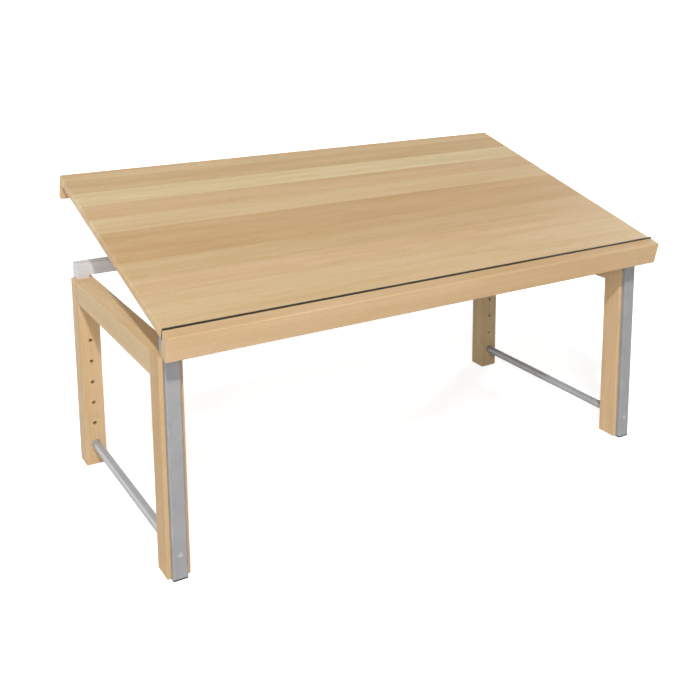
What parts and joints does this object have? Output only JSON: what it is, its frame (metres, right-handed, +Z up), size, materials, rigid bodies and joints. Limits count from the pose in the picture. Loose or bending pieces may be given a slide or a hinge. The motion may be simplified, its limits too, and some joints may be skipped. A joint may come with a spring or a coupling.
{
  "type": "height-adjustable tilting desk",
  "caption": "Low beech desk with two wooden side frames, a grey steel frame that telescopes up out of them in steps, and a wide top that tilts up from level about its front edge.",
  "frame": {"origin": "on the floor, under the middle of the box around the desk at rest, at its lowest height and with its top tilted up", "axes": "+X to the sitter's right along the top, +Y from the sitter to the back, +Z up"},
  "size_m": [1.2, 0.6904, 0.6751],
  "materials": {
    "beech_board": "satin varnish over glued beech staves",
    "beech_rail": "satin varnish",
    "beech_frame": "satin varnish",
    "beech_batten": "planed, thinly varnished",
    "beech_dowel": "turned, unfinished",
    "dark_strip": "dark stained hardwood, satin",
    "grey_steel_tube": "smooth light grey powder coat",
    "silver_stretcher_tube": "silver grey powder coat, semi-gloss",
    "black_plastic": "injection moulded, fine texture",
    "grey_plastic": "injection moulded, smooth",
    "felt": "pressed felt",
    "black_rubber": "moulded rubber",
    "zinc_plated_sheet": "bright zinc plated, satin",
    "zinc_plated_fastener": "bright zinc plated"
  },
  "bodies": {
    "lift_frame": {"access_plugs": "grey_plastic", "clamp_bolts": "zinc_plated_fastener", "clamp_spacers": "zinc_plated_fastener", "clamp_washers": "zinc_plated_fastener", "clevis_screws": "zinc_plated_fastener", "front_crossbar": "grey_steel_tube", "hinge_pin_rings": "zinc_plated_fastener", "hinge_pins": "zinc_plated_fastener", "left_bearer": "grey_steel_tube", "left_front_glide": "black_plastic", "left_front_post": "grey_steel_tube", "left_hinge_clevis": "zinc_plated_sheet", "left_rear_glide": "black_plastic", "left_rear_post": "grey_steel_tube", "rear_crossbar": "grey_steel_tube", "rest_pads": "black_rubber", "right_bearer": "grey_steel_tube", "right_front_glide": "black_plastic", "right_front_post": "grey_steel_tube", "right_hinge_clevis": "zinc_plated_sheet", "right_rear_glide": "black_plastic", "right_rear_post": "grey_steel_tube"},
    "tilting_top": {"batten_screws": "zinc_plated_fastener", "front_rail": "beech_rail", "leaf_screws": "zinc_plated_fastener", "left_batten": "beech_batten", "left_hinge_leaf": "zinc_plated_sheet", "left_stay": "zinc_plated_sheet", "rear_rail": "beech_rail", "right_batten": "beech_batten", "right_hinge_leaf": "zinc_plated_sheet", "right_stay": "zinc_plated_sheet", "stay_screws": "zinc_plated_fastener", "stop_strip": "dark_strip", "top_board": "beech_board", "top_dowels": "beech_dowel"},
    "left_clamp_knob": {"left_clamp_knob": "black_plastic"},
    "side_frames": {"left_front_leg": "beech_frame", "left_rear_leg": "beech_frame", "left_side_rail": "beech_frame", "left_stretcher": "silver_stretcher_tube", "leg_pads": "felt", "right_front_leg": "beech_frame", "right_rear_leg": "beech_frame", "right_side_rail": "beech_frame", "right_stretcher": "silver_stretcher_tube", "side_frame_dowels": "beech_dowel", "stretcher_bolts": "zinc_plated_fastener", "stretcher_inserts": "zinc_plated_fastener", "stretcher_washers": "zinc_plated_fastener"},
    "right_clamp_knob": {"right_clamp_knob": "black_plastic"}
  },
  "joints": [
    {"name": "height", "type": "slide", "parent": "side_frames", "child": "lift_frame", "axis": [0, 0, 1], "range_m": [0, 0.25]},
    {"name": "tilt", "type": "hinge", "parent": "lift_frame", "child": "tilting_top", "pos_m": [0, -0.27143, 0.487], "axis": [1, 0, 0], "range_deg": [-14.5, 0]},
    {"name": "left_clamp_turn", "type": "hinge", "parent": "lift_frame", "child": "left_clamp_knob", "pos_m": [-0.364, 0.20786, 0.461], "axis": [1, 0, 0], "range_deg": [0, 180]},
    {"name": "right_clamp_turn", "type": "hinge", "parent": "lift_frame", "child": "right_clamp_knob", "pos_m": [0.364, 0.20786, 0.461], "axis": [-1, 0, 0], "range_deg": [0, 180]}
  ]
}
